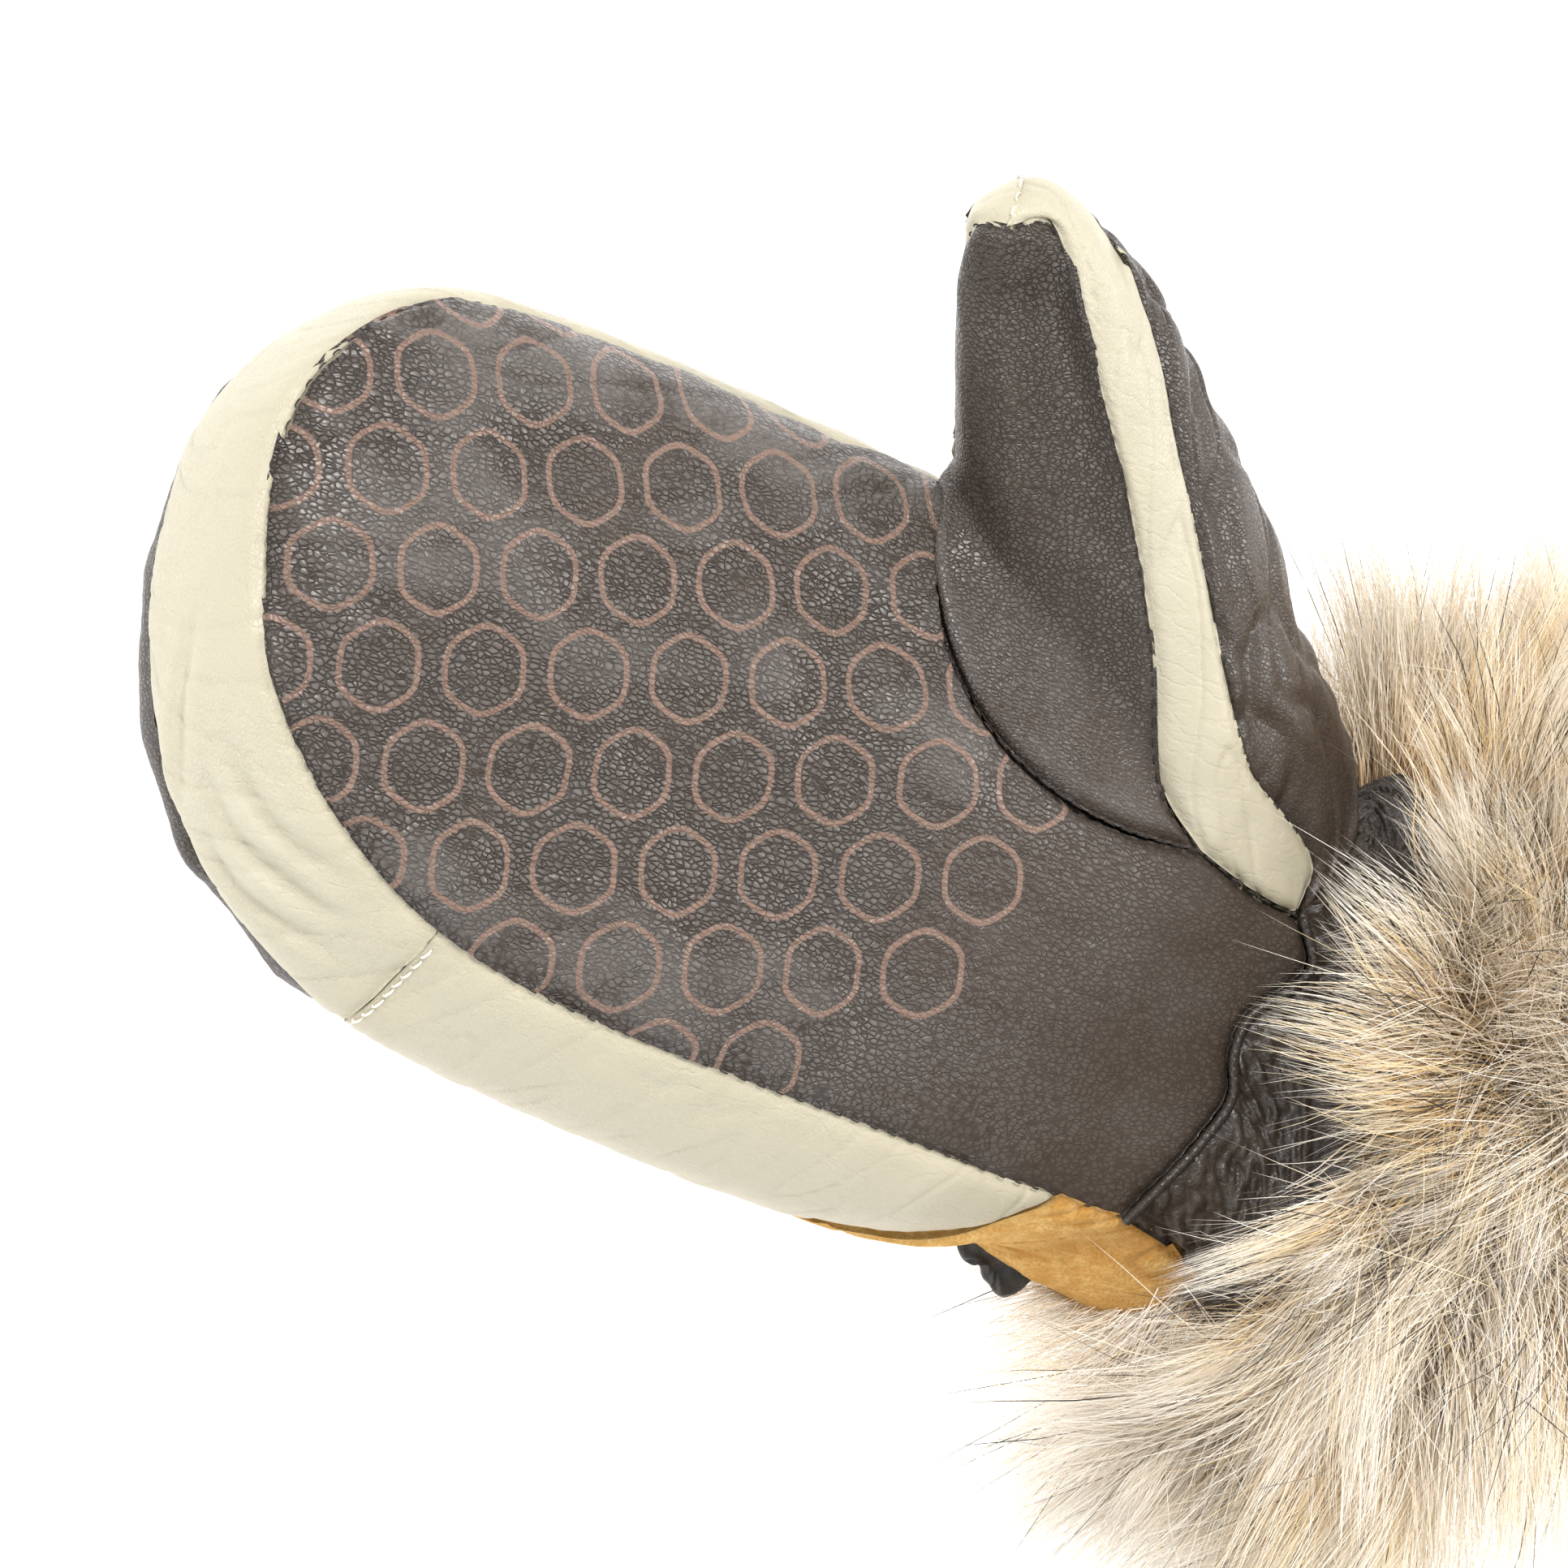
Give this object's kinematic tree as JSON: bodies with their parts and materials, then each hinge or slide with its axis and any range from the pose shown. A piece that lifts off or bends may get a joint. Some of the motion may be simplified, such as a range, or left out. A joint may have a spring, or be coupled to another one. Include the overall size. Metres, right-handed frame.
{
  "type": "leather mitten",
  "caption": "Padded right-hand leather mitten, palm up: dark grained panels, cream strips round fingers and thumb, yellow suede wrist, deep long-pile cuff.",
  "frame": {"origin": "on the flat of the back of the hand, which the mitten rests on, under the middle of the palm", "axes": "+Y towards the fingertips, +X towards the thumb side, +Z out of the palm"},
  "size_m": [0.1996, 0.2874, 0.0987],
  "materials": {
    "dark_leather": "satin",
    "cream_leather": "satin",
    "suede": "matte",
    "gather_leather": "satin",
    "moulding": "satin",
    "long_pile": "matte"
  },
  "bodies": {
    "root": {"palm_panel": "dark_leather", "back_panel": "dark_leather", "side_strip_tip": "cream_leather", "side_strip_edge": "cream_leather", "thumb_front": "dark_leather", "thumb_strip_outer": "cream_leather", "thumb_strip_inner": "cream_leather", "thumb_back": "dark_leather", "suede_panel": "suede", "wrist_gather": "gather_leather", "palm_piping": "dark_leather", "strap_tab": "moulding", "fur_cuff": "long_pile"}
  },
  "joints": []
}
